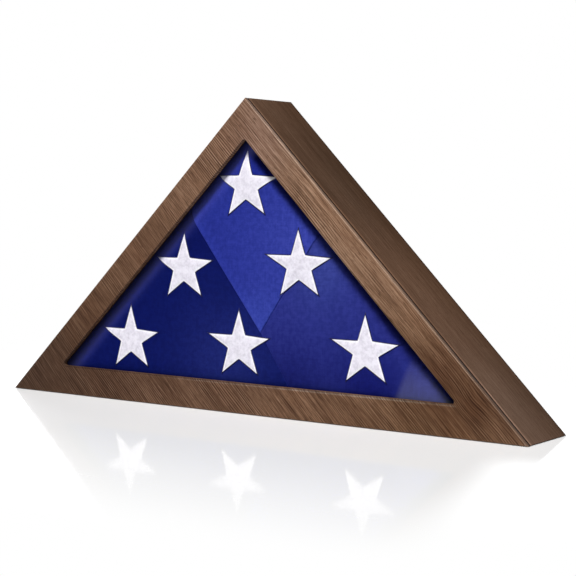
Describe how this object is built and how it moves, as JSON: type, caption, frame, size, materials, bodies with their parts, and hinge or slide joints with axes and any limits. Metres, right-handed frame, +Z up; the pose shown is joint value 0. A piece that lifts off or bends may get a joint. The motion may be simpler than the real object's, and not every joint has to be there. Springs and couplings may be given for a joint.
{
  "type": "folded flag display case",
  "caption": "Triangular wooden display case with a glazed window, a folded flag inside, a drop-down rear door with a magnetic catch, and a keyhole hanger.",
  "frame": {"origin": "on the surface the case stands on, at the middle of its overall width and of its overall depth with the wall bumpers", "axes": "+X along the base to the right seen from the front, +Y towards the rear door, +Z up to the apex"},
  "size_m": [0.65, 0.091, 0.325],
  "materials": {
    "walnut_veneer": "satin, walnut-brown veneer with open grain",
    "stained_wood": "satin, walnut-brown stain with the grain along the board",
    "bead_wood": "matt, dark stain",
    "pine": "bare planed softwood",
    "hardboard": "smooth brown hardboard",
    "clear_glass": "clear",
    "flag_cotton": "woven cotton with embroidered stars",
    "black_felt": "felt",
    "hinge_brass": "brass plated",
    "zinc_steel": "zinc plated",
    "nickel": "nickel plated",
    "black_rubber": "matt"
  },
  "bodies": {
    "case": {"front_frame": "walnut_veneer", "left_board": "stained_wood", "right_board": "stained_wood", "base_board": "stained_wood", "corner_brads": "zinc_steel", "glass_pane": "clear_glass", "left_glazing_bead": "bead_wood", "right_glazing_bead": "bead_wood", "base_glazing_bead": "bead_wood", "bead_pins": "zinc_steel", "folded_flag": "flag_cotton", "apex_block": "pine", "catch_magnets": "nickel", "keyhole_hanger": "zinc_steel", "hanger_screws": "zinc_steel", "wall_bumpers": "black_rubber", "left_hinge_case_leaf": "hinge_brass", "right_hinge_case_leaf": "hinge_brass", "left_hinge_pin": "hinge_brass", "right_hinge_pin": "hinge_brass", "hinge_case_screws": "hinge_brass"},
    "door": {"left_hinge_door_leaf": "hinge_brass", "right_hinge_door_leaf": "hinge_brass", "hinge_door_rivets": "hinge_brass", "back_door": "hardboard", "door_lining": "black_felt", "door_strikes": "zinc_steel"}
  },
  "joints": [
    {"name": "door_hinge", "type": "hinge", "parent": "case", "child": "door", "pos_m": [0, 0.0425, 0.01575], "axis": [-1, 0, 0], "range_deg": [0, 90]}
  ]
}
